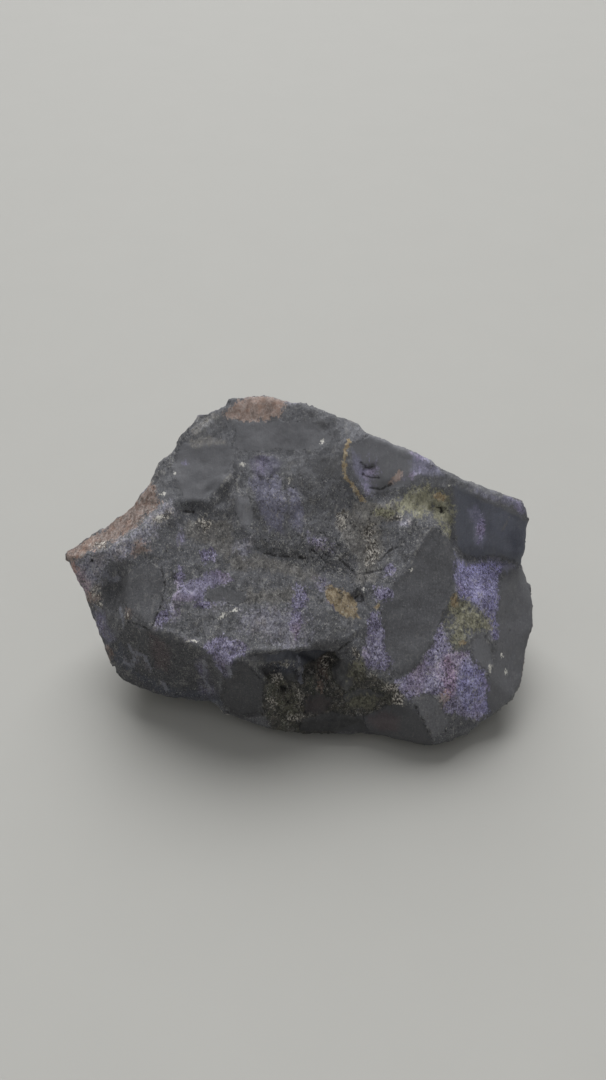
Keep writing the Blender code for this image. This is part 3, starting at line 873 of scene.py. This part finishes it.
def chipping(places, fields):
    """The chips, steps and lumps that cover the whole stone, less of them on smooth facets.

    Each term starts with its height, and each texture says its features' size, then its octaves,
    where it has them, and its seed.
    """
    hidden = fields["unseen"]
    hackly = 1 - 0.8 * step(-0.2, 0.4, fields["scar"])
    crusts = [fields[name] for name in ("olive", "rust", "cream", "ochre")]
    crust = step(-0.1, 0.3, np.maximum.reduce(crusts))
    purple_patch = step(-0.1, 0.3, fields["strong_purple"])
    purple = np.maximum(purple_patch, step(-0.2, 0.4, fields["purple_field"]))
    muddy = step(-0.6, 0.6, fields["muddy"])
    places = places * STRETCH
    wandering = drift(places, 4.0, 1.2, 7.0)
    lift = 0.22 * cloud(places, 7.0, 3, 1.0) * (0.4 + 0.6 * hackly)
    lift += hackly * (0.30 + 0.9 * hidden) * scallops(wandering, 5.5, 2.0)
    lift += hackly * 0.20 * scallops(wandering, 1.8, 3.0)
    lift += hackly * (0.25 + 0.5 * hidden) * cleavage(wandering, 3.0, 5.0)
    lift += hidden * 1.1 * cleavage(wandering, 9.0, 16.0)
    lift += (0.12 * hackly + 0.03) * cloud(places, 0.9, 3, 6.0)
    lift += crust * 0.30 * cloud(places, 1.0, 2, 8.0)
    lift += purple * 0.14 * cloud(places, 0.8, 2, 9.0)
    lift += muddy * 0.7 * scallops(wandering, 2.6, 11.0)
    lift += muddy * 0.5 * cleavage(wandering, 1.8, 12.0)
    lift += muddy * 0.25 * cloud(places, 0.9, 3, 13.0)
    return lift


def carving(fields):
    """The edges, hollows, cracks and pits that have their own places."""
    lift = 0.28 * np.exp(-(fields["ridge"] / 0.45) ** 2)
    for name, (_, depth) in PRESSED.items():
        lift -= depth * step(-0.7, 0.7, fields["pressed_" + name])
    lift -= 0.18 * np.exp(-(fields["crack"] / 0.25) ** 2)
    lift -= 0.7 * step(0, 0.7, fields["pit"])
    return lift


def rolled_under(places, normals):
    """How far each place moves to round the sharp edge of the resting face."""
    heights = places[:, 2]
    base = heights < BASE_HEIGHT
    rim = KDTree(len(places))
    for index in np.flatnonzero(~base & (heights < RIM_HEIGHT)):
        rim.insert((places[index, 0], places[index, 1], 0), index)
    rim.balance()
    inward = -normals * (1, 1, 0)
    travel = 1 - heights / FOOT_ROUND
    for index in np.flatnonzero(base):
        nearest, _, away = rim.find((places[index, 0], places[index, 1], 0))
        inward[index] = (places[index] - nearest) * (1, 1, 0)
        travel[index] = 1 + away / FOOT_ROUND
    inward /= np.maximum(np.linalg.norm(inward, axis=1), 1e-6)[:, None]
    angle = np.pi / 4 * np.clip(travel, 0, 2)
    inset = FOOT_ROUND * (1 - np.cos(angle))
    inset[base] -= FOOT_ROUND * np.minimum(travel[base] - 1, 1)
    move = inset[:, None] * inward
    rolled = travel > 0
    move[rolled, 2] = FOOT_ROUND * (1 - np.sin(angle[rolled])) - heights[rolled]
    return move


def kept_inside(places):
    """The places, none of them past the solid's box or below the table."""
    low = np.array(cad_low) / MM + INSIDE
    high = np.array(cad_high) / MM - INSIDE
    low[2] = 0
    return np.clip(places, low, high)


def weathered(source):
    """The stone's fine surface, with the relief in its mesh and a field for each layer."""
    stone = fine_copy(source, "weathered_stone")
    mesh = stone.data
    places = points_of(mesh)
    normals = normals_of(mesh)
    fields = layer_fields(places, normals)
    fields["raised"] = chipping(places, fields)
    lift = (fields["raised"] + carving(fields)) * step(0, BASE_FADE, places[:, 2])
    moved = places + lift[:, None] * normals + rolled_under(places, normals)
    mesh.vertices.foreach_set("co", (kept_inside(moved) * MM).ravel())
    for name in SHOWN_FIELDS:
        layer = mesh.attributes.new(name, "FLOAT", "POINT")
        layer.data.foreach_set("value", fields[name])
    mesh.shade_smooth()
    mesh.update()
    return stone


# ---------------------------------------------------------------- nodes

class Wire:
    """A node's output. Arithmetic on a number's wire adds Math nodes."""

    def __init__(self, nodes, socket):
        self.nodes = nodes
        self.socket = socket

    def maths(self, operation, first, second=0.0):
        return self.nodes.add("ShaderNodeMath", {"operation": operation}, {0: first, 1: second})

    def __add__(self, other):
        return self.maths("ADD", self, other)

    __radd__ = __add__

    def __sub__(self, other):
        return self.maths("SUBTRACT", self, other)

    def __rsub__(self, other):
        return self.maths("SUBTRACT", other, self)

    def __mul__(self, other):
        return self.maths("MULTIPLY", self, other)

    __rmul__ = __mul__

    def over(self, other):
        """The greater of two numbers."""
        return self.maths("MAXIMUM", self, other)

    def size(self):
        """The number without its sign."""
        return self.maths("ABSOLUTE", self)

    def rise(self, low, high):
        """0 below low, 1 above high and an even curve between."""
        return self.nodes.add(
            "ShaderNodeMapRange", {"interpolation_type": "SMOOTHSTEP"},
            {"Value": self, "From Min": low, "From Max": high})


class Nodes:
    """One material's nodes, all made by add."""

    def __init__(self, material):
        self.tree = material.node_tree
        self.tree.nodes.clear()

    def add(self, kind, settings, sockets, output=0):
        """A node: first its settings, then its sockets' values or wires. Gives one output."""
        node = self.tree.nodes.new(kind)
        for name, value in settings.items():
            if name == "stops":
                self.set_stops(node.color_ramp, value)
            else:
                setattr(node, name, value)
        for name, value in sockets.items():
            if isinstance(value, Wire):
                self.tree.links.new(value.socket, node.inputs[name])
            else:
                node.inputs[name].default_value = value
        return Wire(self, node.outputs[output]) if node.outputs else None

    def set_stops(self, ramp, stops):
        while len(ramp.elements) < len(stops):
            ramp.elements.new(0.5)
        for element, (position, colour) in zip(ramp.elements, stops):
            element.position = position
            element.color = (*colour, 1)

    def field(self, name):
        """One of the surface's own fields."""
        return self.add("ShaderNodeAttribute", {"attribute_name": name}, {}, "Fac")

    def vector(self, operation, first, second, output=0):
        """Vector maths on two places or colours."""
        settings = {"operation": operation}
        return self.add("ShaderNodeVectorMath", settings, {0: first, 1: second}, output)

    def moved(self, place, seed):
        """A place moved far off, so that a texture there is another one."""
        return self.vector("ADD", place, (seed, 2 * seed, 3 * seed))

    def noise(self, place, per_mm, detail, roughness, seed):
        """Fractal noise about 0, mostly between -1 and 1."""
        sockets = {"Vector": self.moved(place, seed), "Scale": per_mm}
        sockets.update({"Detail": detail, "Roughness": roughness})
        return (self.add("ShaderNodeTexNoise", {}, sockets) - 0.5) * 3.0

    def facets(self, place, per_mm, seed):
        """Small flat facets, each tilted its own way: their height in millimetres."""
        here = self.moved(place, seed)
        sockets = {"Vector": here, "Scale": per_mm}
        middle = self.add("ShaderNodeTexVoronoi", {}, sockets, "Position")
        lean = self.add("ShaderNodeTexVoronoi", {}, sockets, "Color")
        away = self.vector("SUBTRACT", here, middle)
        slope = self.vector("SUBTRACT", lean, (0.5, 0.5, 0.5))
        return self.vector("DOT_PRODUCT", away, slope, "Value")

    def ramp(self, name, value):
        """A finish's colours, from its darkest where the value is low to its palest."""
        return self.add("ShaderNodeValToRGB", {"stops": RAMPS[name]}, {"Fac": value})

    def shade(self, colour, share):
        """A colour made darker or lighter all over."""
        settings = {"operation": "SCALE"}
        return self.add("ShaderNodeVectorMath", settings, {0: colour, "Scale": share})

    def tint(self, name, colour, mask):
        """A colour that takes a tint where the mask is 1."""
        return self.lay(colour, self.vector("MULTIPLY", colour, TINTS[name]), mask)

    def lay(self, under, over, mask):
        """One colour over another where the mask is 1."""
        under_value = under if isinstance(under, Wire) else (*under, 1)
        over_value = over if isinstance(over, Wire) else (*over, 1)
        return self.add("ShaderNodeMix", {"data_type": "RGBA"},
                        {0: mask, 6: under_value, 7: over_value}, 2)


# ---------------------------------------------------------------- the stone's material

class Coat:
    """The stone's colour, laid on layer by layer."""

    def __init__(self, nodes, place, fields):
        self.nodes = nodes
        self.place = place
        self.fields = fields
        self.grit = fields["grit"]
        self.wide = self.noise("wide")
        self.ragged = self.noise("ragged")
        self.colour = self.dark_rock()

    def noise(self, name):
        return self.nodes.noise(self.place, *NOISES[name])

    def streaks(self, name, squeeze):
        """Noise drawn out long away from the front."""
        drawn = self.nodes.vector("MULTIPLY", self.place, (1, squeeze, squeeze))
        return self.nodes.noise(drawn, *NOISES[name])

    def spots(self, name):
        """1 in the spots of one kind, which are everywhere."""
        *features, low, high = SPOTS[name]
        return self.nodes.noise(self.place, *features).rise(low, high)

    def hairlines(self, name):
        """1 along fine, wandering strokes, as thin as a split in the rock, in some spots."""
        return (1 - self.noise(name).size().rise(0.05, 0.16)) * self.spots(name)

    def within(self, name):
        """1 inside the places of one kind, whose edges bend widely and fray finely."""
        bend, fray, low, high = EDGES[name]
        return (self.fields[name] + bend * self.wide + fray * self.ragged).rise(low, high)

    def along(self, name):
        """1 along the lines of one kind."""
        reach, fray, blur = LINE_EDGES[name]
        return (reach - self.fields[name] + fray * self.ragged).rise(0.0, blur)

    def strewn(self, name):
        """1 in patches laid by chance over the sides that the camera doesn't see."""
        per_mm, seed, low, high = STREWN[name]
        patches = self.nodes.noise(self.place, per_mm, 3, 0.6, seed) + 0.4 * self.ragged
        return self.fields["unseen"] * patches.rise(low, high)

    def finish(self, name, grit=1.0, swell=0.0):
        """One mineral's crumbs, in its own colours."""
        middle, contrast, *features = CRUMBS[name]
        crumbs = middle + grit * contrast * self.nodes.noise(self.place, *features)
        return self.nodes.ramp(name, crumbs + swell)

    def lay(self, colour, mask):
        """The next layer, where the mask is 1."""
        self.colour = self.nodes.lay(self.colour, colour, mask)

    def tint(self, name, mask):
        self.colour = self.nodes.tint(name, self.colour, mask)

    def dark_rock(self):
        """Greys that drift from bluish to warm, finely speckled and plainer on the facets, with painted
        shade in the relief's dents and painted highlight on its bumps.
        """
        slow = self.noise("slow_grey")
        fast = self.noise("fast_grey")
        grain = self.grit * (0.05 * fast + 0.30 * self.noise("fine_grey"))
        # The relief's height in the grey: painted shade in its dents and painted highlight on its bumps
        shade = 0.5 + 0.08 * slow + 0.16 * self.fields["raised"] + grain
        grey = self.nodes.ramp("rock", shade)
        warm_grey = self.nodes.lay(grey, PLAIN["warm_rock"], 0.5)
        grey = self.nodes.lay(grey, warm_grey, 0.22 * self.spots("warm_rock"))
        stripe = self.streaks("facet_stripe", 0.2)
        plain_shade = 0.5 + 0.1 * slow + 0.5 * grain + 0.12 * self.grit * stripe
        on_facet = (self.fields["scar"] + 0.5 * fast).rise(-0.1, 0.3)
        return self.nodes.lay(grey, self.nodes.ramp("facet", plain_shade), on_facet)

    def purple(self):
        """The purple mineral: a sugary grain of lilac, mid purple and near-black holes."""
        tone = self.finish("purple", self.grit, 0.22 * self.noise("purple_swell"))
        tone = self.nodes.tint("pink_purple", tone, self.spots("pink_purple"))
        return self.nodes.lay(tone, PLAIN["purple_hole"], 0.9 * self.spots("purple_hole"))

    def rock_layers(self):
        """Cool and tan rock, and the muddy crust in the hollows. Gives where that crust is."""
        self.tint("cool_rock", self.within("cool"))
        self.lay(self.finish("tan"), 0.45 * self.within("tan"))
        muddy = self.within("muddy") * (1 - 0.7 * self.within("scar"))
        mud = self.nodes.tint("olive_mud", self.finish("muddy", self.grit), self.spots("olive_mud"))
        self.lay(mud, 0.9 * muddy)
        return muddy

    def purple_layers(self):
        """The purple haze, the pale films and the purple mineral."""
        purple = self.purple()
        haze = self.fields["haze"] + 0.8 * self.streaks("haze_stripe", 0.35)
        haze = (haze + 0.6 * self.wide).rise(-0.5, 0.9)
        self.lay(self.finish("haze"), 0.75 * haze)
        self.lay(purple, 0.75 * self.within("faint_purple").over(self.strewn("purple")))
        film = self.nodes.tint("warm_film", self.finish("film"), 0.8 * self.spots("warm_film"))
        self.lay(film, 0.72 * self.within("pale_film").over(self.within("film_field")))
        self.lay(purple, self.within("strong_purple").over(self.within("purple_field")))
        self.tint("violet", self.within("violet"))

    def crust_layers(self, muddy):
        """The rusty, olive and ochre crusts."""
        rust = (0.75 * self.within("rust")).over(self.within("rust_field"))
        rusty = self.finish("rust", self.grit)
        rusty = self.nodes.tint("orange_rust", rusty, self.spots("orange_rust"))
        self.lay(rusty, 0.9 * rust.over(self.strewn("rust")))
        olive = 0.9 * self.within("olive") * (1 - 0.6 * muddy)
        self.lay(self.finish("olive", self.grit), 0.9 * olive.over(self.strewn("olive")))
        ochre = self.within("ochre").over(self.within("ochre_field"))
        self.lay(self.finish("ochre"), ochre.over(self.along("vein")))

    def toning_and_shade(self):
        """The red stain and the outlines' shares, which paint shade into the recess, the crevice, the
        hollows, the front and the foot and make the rock paler or darker elsewhere; then the cream
        crumbs and the strokes over them.
        """
        stain = self.fields["unseen"] * self.spots("red")
        self.tint("red", self.within("red").over(stain))
        # Painted shade: the colour scaled by the tone's shares
        self.colour = self.nodes.shade(self.colour, self.fields["tone"])
        self.lay(self.finish("cream"), 0.8 * self.within("cream"))
        self.lay(PLAIN["stroke"], 0.85 * self.along("stroke"))

    def specks(self):
        """Pale grains, painted glints and hairlines of painted edge highlight, and dark holes and
        splits, in the open rock.
        """
        open_rock = self.grit * (1 - 0.75 * self.fields["scar"].rise(-0.1, 0.3))
        speck = self.spots("speck") * (self.noise("speck_cluster") + 0.30).rise(0.0, 0.7)
        pale = (0.8 * speck).over(0.65 * self.spots("glint"))
        pale = pale.over(0.45 * self.hairlines("edge_highlight"))
        # Pale grains with painted glints and edge highlights, dimmed by the tone's painted shade
        self.lay(PLAIN["speck"], pale * open_rock * self.fields["tone"])
        dark = (0.7 * self.spots("hole")).over(0.35 * self.hairlines("split"))
        self.lay(PLAIN["hole"], dark * open_rock)

    def marks(self):
        """The painted highlights along edges, the white crumbs, and the cracks and pits painted
        near-black as their shade, that have their own places.
        """
        # Painted highlights along edges
        self.lay(PLAIN["pale_line"], 0.7 * self.along("pale_line"))
        white = self.fields["white"] - 0.15 + 1.3 * self.noise("white_fray")
        self.lay(PLAIN["white"], 0.9 * white.rise(0.0, 0.3))
        # Cracks and pits painted near-black: painted shade
        dark = (0.9 * self.along("crack")).over(self.within("pit"))
        self.lay(PLAIN["crack"], 0.9 * dark)


def stone_colour(nodes, place, fields):
    """All the layers, from the dark rock up."""
    coat = Coat(nodes, place, fields)
    muddy = coat.rock_layers()
    coat.purple_layers()
    coat.crust_layers(muddy)
    coat.toning_and_shade()
    coat.specks()
    coat.marks()
    return coat.colour


def stone_bumps(nodes, place, grit, smooth, crust):
    """The grain that is finer than the mesh."""
    fine = nodes.noise(place, *NOISES["fine_bump"])
    coarse = nodes.noise(place, *NOISES["coarse_bump"])
    shards = nodes.facets(place, 1.0, 6.0) + nodes.facets(place, 2.4, 7.0)
    height = (0.20 + 0.5 * crust + 0.4 * (1 - smooth)) * fine + 0.25 * (1 - 0.8 * smooth) * coarse
    height = grit * (height + 4.0 * (1 - 0.85 * smooth) * shards)
    sockets = {"Strength": 1.0, "Distance": BUMP_HEIGHT * MM, "Height": height}
    return nodes.add("ShaderNodeBump", {}, sockets)


def new_material(name):
    """A material, its nodes, and the place on the piece that they read, in metres."""
    material = bpy.data.materials.new(name)
    material.use_nodes = True
    nodes = Nodes(material)
    return material, nodes, nodes.add("ShaderNodeTexCoord", {}, {}, "Object")


def finished(material, nodes, sockets):
    """The material, with its shader."""
    shader = nodes.add("ShaderNodeBsdfPrincipled", {}, sockets)
    nodes.add("ShaderNodeOutputMaterial", {}, {"Surface": shader})
    return material


def stone_material():
    """The finish of the whole specimen."""
    material, nodes, here = new_material("phosphosiderite_stone")
    place = nodes.vector("MULTIPLY", here, tuple(share / MM for share in STRETCH))
    fields = {name: nodes.field(name) for name in SHOWN_FIELDS}
    smooth = fields["scar"].rise(-0.05, 0.25)
    crust = fields["strong_purple"].over(fields["olive"]).over(fields["rust"]).rise(-0.1, 0.2)
    return finished(material, nodes, {
        "Base Color": stone_colour(nodes, place, fields),
        "Roughness": 0.66 - 0.06 * smooth + 0.2 * crust,
        "Normal": stone_bumps(nodes, place, fields["grit"], smooth, crust)})


# ---------------------------------------------------------------- the table, the light, the camera

def table_material():
    """A pale, matt finish with a faint mottle."""
    material, nodes, here = new_material("pale_table")
    mottle = nodes.noise(here, MOTTLES_A_METRE, 3, 0.6, 1.0)
    colour = nodes.ramp("table", 0.5 + 0.2 * mottle)
    return finished(material, nodes, {"Base Color": colour, "Roughness": 0.7})


def bowl_profile():
    """The radius and height of each ring: a flat table, a bend and a straight slope."""
    rings = []
    for ring in range(BOWL_RINGS + 1):
        lean = BOWL_SLOPE * ring / BOWL_RINGS
        radius = TABLE_RADIUS + BOWL_BEND * math.sin(lean)
        rings.append((radius, BOWL_BEND * (1 - math.cos(lean))))
    radius, height = rings[-1]
    reach = BOWL_LENGTH * math.cos(BOWL_SLOPE)
    rings.append((radius + reach, height + BOWL_LENGTH * math.sin(BOWL_SLOPE)))
    return rings


def table_top():
    """A pale table whose far edge sweeps up all round into a low, sloping backdrop."""
    points = [Vector((0, 0, 0))]
    for radius, height in bowl_profile():
        for turn in range(BOWL_TURNS):
            angle = 2 * math.pi * turn / BOWL_TURNS
            points.append((radius * math.cos(angle), radius * math.sin(angle), height))
    faces = []
    for turn in range(BOWL_TURNS):
        following = (turn + 1) % BOWL_TURNS
        faces.append((0, 1 + turn, 1 + following))
        for inner in range(1, len(points) - BOWL_TURNS, BOWL_TURNS):
            outer = inner + BOWL_TURNS
            faces.append((inner + turn, outer + turn, outer + following, inner + following))
    mesh = bpy.data.meshes.new("table_top")
    mesh.from_pydata(points, [], faces)
    mesh.shade_smooth()
    floor = bpy.data.objects.new("table_top", mesh)
    floor.data.materials.append(table_material())
    bpy.context.scene.collection.objects.link(floor)


def wide_light(name, towards, spread, strength):
    """A large, far softbox: light that falls evenly on the whole table."""
    lamp = bpy.data.lights.new(name, "SUN")
    lamp.angle = math.radians(spread)
    lamp.energy = strength
    light = bpy.data.objects.new(name, lamp)
    light.rotation_euler = Vector(towards).to_track_quat("Z", "Y").to_euler()
    bpy.context.scene.collection.objects.link(light)


def pale_surroundings():
    """An even light from the whole room."""
    world = bpy.data.worlds.new("pale_room")
    world.use_nodes = True
    background = world.node_tree.nodes["Background"]
    background.inputs["Color"].default_value = (*ROOM_COLOUR, 1)
    background.inputs["Strength"].default_value = ROOM_STRENGTH
    bpy.context.scene.world = world


def camera():
    """The lens at the eye, looking down at the stone."""
    lens = bpy.data.cameras.new("camera")
    lens.lens = LENS
    lens.sensor_width = SENSOR
    lens.clip_start = 0.001
    holder = bpy.data.objects.new("camera", lens)
    holder.location = EYE * MM
    holder.rotation_euler = (math.pi / 2 - TILT, 0, 0)
    bpy.context.scene.collection.objects.link(holder)
    bpy.context.scene.camera = holder


# ---------------------------------------------------------------- the scene

stone = weathered(solid)
stone.data.materials.append(stone_material())
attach(stone, BODY)
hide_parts(NODE)

table_top()
wide_light("softbox", *SOFTBOX)
wide_light("ceiling", *CEILING)
pale_surroundings()
camera()
bpy.context.scene.view_settings.view_transform = "Standard"
